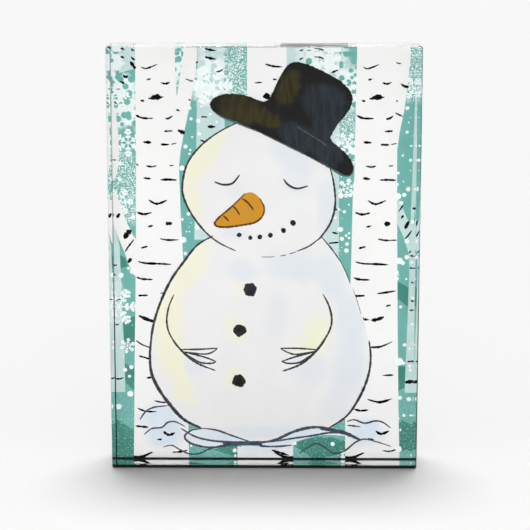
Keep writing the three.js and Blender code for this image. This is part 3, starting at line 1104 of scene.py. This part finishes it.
HAT = [
    (2.8, 157), (5, 161.6), (7.4, 166.4), (10, 169.7), (14, 170.6), (20, 168.8), (27, 165.4),
    (32.6, 162), (35.8, 158.2), (36.6, 154.4), (34.4, 149.6), (30.8, 145), (28.6, 141.6),
    (27.8, 138.4), (31.4, 135), (35, 131.6), (36.9, 128.2), (37, 125), (35.4, 123), (32.6, 123.6),
    (26, 127.4), (16, 132.6), (6, 137.6), (-3, 142), (-11, 145.4), (-17.6, 147.9), (-21.6, 150.6),
    (-22.7, 153.4), (-20.8, 155.9), (-17, 157.3), (-11.6, 157.4), (-6.4, 156.4), (-2.4, 154.8),
    (0.4, 154.4),
]
HAT_PATCHES = (
    # (colour, x, z, half_width, half_height, turn)
    (HAT_OLIVE, 10, 160, 5, 9, 20), (HAT_OLIVE, -10, 151, 11, 7, 18),
    (HAT_OLIVE, 1, 147, 8, 4, 26), (HAT_SLATE, 25, 154, 11, 9, 20),
    (HAT_SLATE, 26, 145, 7, 9, 0), (HAT_SLATE, 16, 139, 13, 6, 27), (HAT_SLATE, 27, 132, 7, 6, 27),
)
HAT_LINES = (
    # (width, points), the crease above the brim and the dry-brushed lower edge
    (0.4, (13.2, 144.1), (16.5, 142), (19.5, 140.1), (22, 138.6)),
    (0.5, (21.4, 138.9), (24.5, 137), (26, 135.7)),
    (0.8, (35.6, 123.2), (32.6, 123.5), (26, 127.3), (19, 131)),
    (0.7, (20, 130.5), (13, 134.1), (6, 137.5), (-3, 141.9)),
    (0.8, (-2, 141.4), (-11, 145.2), (-17.6, 147.8), (-21.4, 150.4)),
)
NICK_REACH = 0.2


def nicked(outline):
    """The outline with the small nicks of a dry brush."""
    return [(x + random.uniform(-NICK_REACH, NICK_REACH), z + random.uniform(-NICK_REACH, NICK_REACH))
            for x, z in outline]


def hat_material():
    """Black brushed over with olive and slate, streaked across by the bristles."""
    material, tree = new_material("hat_ink")
    coordinates = texture_space(tree)
    brushed = ragged_space(tree, coordinates, 2.2, 420.0)
    bristle = steps(tree, noise(tree, coordinates, 700.0, 3.0, (1, 1, 0.22)), 0.42, 0.66, 0.0, 0.5)
    tone = linear(HAT_BLACK)
    for colour, *oval in HAT_PATCHES:
        tone = mix_colour(tree, patch(tree, brushed, *oval, soft=0.3), tone, linear(colour))
    streaked = mix_colour(tree, bristle, tone, shade(HAT_BLACK, 0.6))
    paint(material, {**INK_FINISH, "Base Color": streaked})
    return material


def make_hat():
    layer = InkLayer("picture_hat", 12)
    layer.shape(nicked(smooth_path(HAT, closed=True, spans=16)))
    layer.piece(hat_material())
    lines = InkLayer("picture_hat_lines", 13)
    lines.strokes(HAT_LINES, 1.0, 0.3, 0.45, 12)
    lines.piece(mottled_ink("hat_line_ink", HAT_EDGE, 0.4, 900.0))


# ---------------- coats behind the picture

LIP_OVERLAP = 0.02         # how far the lip's inner wall stands in over the coats' edge
LIP_WRAP = 0.01            # how closely the lip follows the slab's back bevel
FILM_CORE = 0.25           # from the film's back to the face that lies on the coats
FILM_EDGE = 0.08           # bevel round the film's back
FILM_TURN = 0.05           # depth at both ends of the slant between the lip's edge and the film's


def film_material():
    """Black satin plastic with a fine grain."""
    material, tree = new_material("black_back_film")
    grain = noise(tree, texture_space(tree), 2200.0, 4.0)
    tone = mix_colour(tree, steps(tree, grain, 0.35, 0.65), linear(FILM_DARK), linear(FILM_LIGHT))
    bump = {"Strength": 0.15, "Distance": 0.02 * MM, "Height": grain}
    paint(material, {
        "Base Color": tone, "Roughness": steps(tree, grain, 0.3, 0.7, 0.42, 0.6),
        "Specular IOR Level": 0.2, "Normal": add_node(tree, "Bump", bump),
    })
    return material


def make_back_film():
    """Black film over the coats, with a lip that seals the slab's bare rim round the print."""
    film_low, film_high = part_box("back_film")
    film_back = (film_high.y - slab_low.y) / MM
    film_margin = (film_low.x - slab_low.x) / MM
    lip_inset = (ink_low.x - slab_low.x) / MM - LIP_OVERLAP
    lip_front = SLAB_DEPTH - 2 * INK_SINK
    mesh = loft("black_back_film", [slab_ring(inset, behind) for inset, behind in (
        (lip_inset, film_back - FILM_CORE),
        (lip_inset, lip_front),
        (BACK_BEVEL + LIP_WRAP, lip_front),
        (3 * LIP_WRAP, SLAB_DEPTH - BACK_BEVEL + LIP_WRAP),
        (0.0, SLAB_DEPTH - BACK_BEVEL + 3 * LIP_WRAP),
        (0.0, SLAB_DEPTH + FILM_TURN),
        (film_margin, film_back - FILM_TURN),
        (film_margin + FILM_EDGE, film_back),
    )])
    mesh.materials.append(film_material())
    place("black_back_film", mesh, "back_film")


def dress_white_coat():
    """The CAD's own white coat, with a printed-white material."""
    material, tree = new_material("white_ink_coat")
    grain = noise(tree, texture_space(tree), 1200.0, 3.0)
    tone = mix_colour(tree, grain, shade(TRUNK_WHITE, 0.96), shade(TRUNK_WHITE, 1.0))
    paint(material, {"Base Color": tone, "Roughness": 0.5})
    for material_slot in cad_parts["white_ink"].material_slots:
        material_slot.material = material


# ---------------- build

bpy.context.scene.view_settings.view_transform = "Standard"
make_camera()
make_world()
make_lamps()
make_floor()
make_card()
make_slab()
make_ground()
make_hills()
make_far_trunks()
make_snowflakes()
make_trunks()
make_bark()
make_snow_dots()
make_snowman()
make_drifts()
make_outlines()
make_coal()
make_carrot()
make_hat()
make_back_film()
dress_white_coat()
